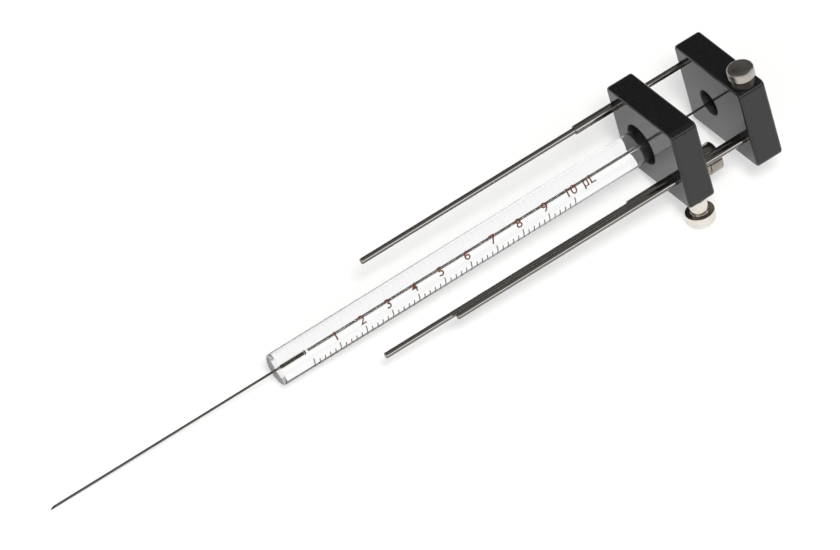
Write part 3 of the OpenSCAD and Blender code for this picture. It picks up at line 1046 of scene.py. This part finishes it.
def makeFlange():
    low, high = sizeOf("barrel_flange")
    radius = radiusOf("barrel_flange")
    hole = radiusOf("glass_barrel") - 0.03
    corners = [(low.x, hole, 0.08), (low.x, radius, 0.15),
               (high.x, radius, 0.15), (high.x, hole, 0.08)]
    bm = bmesh.new()
    turned(bm, rounded(corners, True), facing((1, 0, 0)), True, 128)
    outward(bm)
    piece = makeObject("barrel_collar", bm,
                       nickelFor("nickel_barrel_collar", (1, 0, 0), (0, 0, 0),
                                 "plunger"))
    return hold(piece, "barrel", "steel", "barrel_flange")


makeStopScrew()
makeFlangeScrew()
makePushButton()
makePlungerButton()
makeFlange()
pinAt = middle("button_pin")
# painted shade: a much darker copy of the nickel for the bushing under the button
bushingNickel = nickelFor("bushing_painted_shade", (0, 0, 1), (pinAt.x, pinAt.y, 0),
                          "bushing", (0.35, 0.5))
smoothCopy("button_bushing", "pin_bushing", "plunger", "bright", bushingNickel)
smoothCopy("button_pin", "pin_shaft", "push_button", "steel", darkSteelAndPaintedShade)
for screw in ("plunger_set_screw", "upper_rod_set_screw",
              "lower_rod_set_screw"):
    smoothCopy(screw, screw + "_piece", "plunger", "steel", darkSteelAndPaintedShade)
print("screws and buttons made")


springLow, springHigh = sizeOf("button_spring")
spring = smoothCopy("button_spring", "return_spring", "plunger", "spring",
                    springSteel, 50)
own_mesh(spring)
print("spring made")


stageShape = {"size": 6.0, "diffuse": 0.5, "glow": 0.5, "through": 0.97,
              "colour": (1.0, 0.998, 0.995)}
# near and far give the room's brightness by height, 0 level and 1 overhead
roomShape = {"near": ((0.0, 0.22), (0.26, 0.22), (0.34, 1.5), (0.64, 1.5),
                      (0.72, 0.14), (1.0, 0.14)),
             "far": ((0.0, 0.07), (0.44, 0.07), (0.56, 0.24), (0.85, 0.21),
                     (1.0, 0.14)),
             "seam": 0.15, "strength": 3}
lampShape = {
    "key_lamp": {"place": (-0.03, -0.40, 1.0), "size": 0.4, "power": 9.0,
                 "colour": (1.0, 0.99, 0.97)},
    "fill_lamp": {"place": (-0.75, -0.35, 0.8), "size": 0.8, "power": 2.0,
                  "colour": (0.97, 0.985, 1.0)},
    "target": (0.03, 0, 0)}
cameraShape = {"place": (-0.6965200, -1.1394395, 1.9499882),
               "right": (0.8105543, -0.5842289, -0.0409677),
               "away": (0.3050209, 0.4808278, -0.8220504), "lens": 545.24}


def makeFloor():
    # it lies on the needle's tip and the front block's lowest edge
    s = stageShape
    needleBox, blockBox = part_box("needle"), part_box("barrel_block")
    tip = Vector((needleBox[0].x, 0, needleBox[0].z))
    edge = Vector((blockBox[0].x, 0, blockBox[0].z))
    along = (edge - tip).normalized()
    side = Vector((0, 1, 0))
    half = s["size"] / 2
    bm = bmesh.new()
    bm.faces.new([bm.verts.new(edge + along * a * half + side * b * half)
                  for a, b in ((-1, -1), (1, -1), (1, 1), (-1, 1))])
    mesh = bpy.data.meshes.new("floor")
    bm.to_mesh(mesh)
    bm.free()
    floor = bpy.data.objects.new("floor", mesh)
    bpy.context.scene.collection.objects.link(floor)
    material = bpy.data.materials.new("pale_floor")
    material.use_nodes = True
    tree = material.node_tree
    tree.nodes.remove(tree.nodes["Principled BSDF"])
    path = addNode(tree, "ShaderNodeLightPath")
    seen = addNode(tree, "ShaderNodeMath", {"operation": "MAXIMUM"})
    tree.links.new(path.outputs["Is Camera Ray"], seen.inputs[0])
    tree.links.new(path.outputs["Is Glossy Ray"], seen.inputs[1])
    strength = addNode(tree, "ShaderNodeMath", {"operation": "MULTIPLY"},
                       {1: s["glow"]})
    tree.links.new(seen.outputs[0], strength.inputs[0])
    matte = addNode(tree, "ShaderNodeBsdfDiffuse", None,
                    {"Color": [c * s["diffuse"] for c in s["colour"]] + [1]})
    glow = addNode(tree, "ShaderNodeEmission", None,
                   {"Color": [*s["colour"], 1]})
    tree.links.new(strength.outputs[0], glow.inputs["Strength"])
    both = addNode(tree, "ShaderNodeAddShader")
    tree.links.new(matte.outputs[0], both.inputs[0])
    tree.links.new(glow.outputs[0], both.inputs[1])
    # through glass it is plain and even
    plain = addNode(tree, "ShaderNodeEmission", None,
                    {"Color": [*s["colour"], 1], "Strength": s["through"]})
    either = addNode(tree, "ShaderNodeMixShader")
    tree.links.new(path.outputs["Is Transmission Ray"], either.inputs["Fac"])
    tree.links.new(both.outputs[0], either.inputs[1])
    tree.links.new(plain.outputs[0], either.inputs[2])
    tree.links.new(either.outputs[0], tree.nodes["Material Output"].inputs[0])
    mesh.materials.append(material)


def makeWorld():
    # a dark room with a broad pale strip on the near side; it is plain white
    # straight to the camera, and on the near side through glass
    s = roomShape
    world = bpy.data.worlds.new("studio")
    bpy.context.scene.world = world
    world.use_nodes = True
    tree = world.node_tree
    backdrop = tree.nodes["Background"]
    where = addNode(tree, "ShaderNodeTexCoord")
    split = addNode(tree, "ShaderNodeSeparateXYZ")
    tree.links.new(where.outputs["Generated"], split.inputs[0])
    sides = []
    for heights in (s["near"], s["far"]):
        ramp = addNode(tree, "ShaderNodeValToRGB")
        stops = ramp.color_ramp.elements
        while len(stops) < len(heights):
            stops.new(0.5)
        for stop, (height, value) in zip(stops, heights):
            stop.position = height
            grey = value / s["strength"]
            stop.color = (grey, grey, grey, 1)
        tree.links.new(split.outputs["Z"], ramp.inputs["Fac"])
        sides.append(ramp.outputs["Color"])
    towards = addNode(tree, "ShaderNodeMapRange", None, {
        "From Min": -s["seam"], "From Max": s["seam"]})
    tree.links.new(split.outputs["Y"], towards.inputs["Value"])
    room = addNode(tree, "ShaderNodeMix", {"data_type": "RGBA"})
    tree.links.new(towards.outputs["Result"], room.inputs[0])
    tree.links.new(sides[0], room.inputs[6])
    tree.links.new(sides[1], room.inputs[7])
    path = addNode(tree, "ShaderNodeLightPath")
    near = addNode(tree, "ShaderNodeMath", {"operation": "SUBTRACT"}, {0: 1})
    tree.links.new(towards.outputs["Result"], near.inputs[1])
    through = addNode(tree, "ShaderNodeMath", {"operation": "MULTIPLY"})
    tree.links.new(near.outputs[0], through.inputs[0])
    tree.links.new(path.outputs["Is Transmission Ray"], through.inputs[1])
    plain = addNode(tree, "ShaderNodeMath", {"operation": "MAXIMUM"})
    tree.links.new(through.outputs[0], plain.inputs[0])
    tree.links.new(path.outputs["Is Camera Ray"], plain.inputs[1])
    mix = addNode(tree, "ShaderNodeMix", {"data_type": "RGBA"})
    white = 1 / s["strength"]
    mix.inputs[7].default_value = (white, white, white, 1)
    tree.links.new(plain.outputs[0], mix.inputs[0])
    tree.links.new(room.outputs[2], mix.inputs[6])
    tree.links.new(mix.outputs[2], backdrop.inputs["Color"])
    backdrop.inputs["Strength"].default_value = s["strength"]


def makeLamp(name):
    s = lampShape[name]
    light = bpy.data.lights.new(name, "AREA")
    light.shape, light.size = "DISK", s["size"]
    light.energy, light.color = s["power"], s["colour"]
    lamp = bpy.data.objects.new(name, light)
    aim = Vector(lampShape["target"]) - Vector(s["place"])
    lamp.matrix_world = (Matrix.Translation(s["place"])
                         @ aim.to_track_quat("-Z", "Y").to_matrix().to_4x4())
    # unseen in the polished pieces
    lamp.visible_glossy = False
    bpy.context.scene.collection.objects.link(lamp)


def makeCamera():
    s = cameraShape
    away = Vector(s["away"]).normalized()
    right = Vector(s["right"])
    right = (right - away * right.dot(away)).normalized()
    up = right.cross(away)
    data = bpy.data.cameras.new("camera")
    data.lens, data.sensor_width = s["lens"], 36
    data.clip_start, data.clip_end = 0.05, 20
    camera = bpy.data.objects.new("camera", data)
    turn = Matrix((right, up, -away)).transposed().to_4x4()
    camera.matrix_world = Matrix.Translation(s["place"]) @ turn
    bpy.context.scene.collection.objects.link(camera)
    bpy.context.scene.camera = camera


makeFloor()
makeWorld()
makeLamp("key_lamp")
makeLamp("fill_lamp")
makeCamera()
bpy.context.scene.view_settings.view_transform = "Standard"
print("floor, light and camera made")
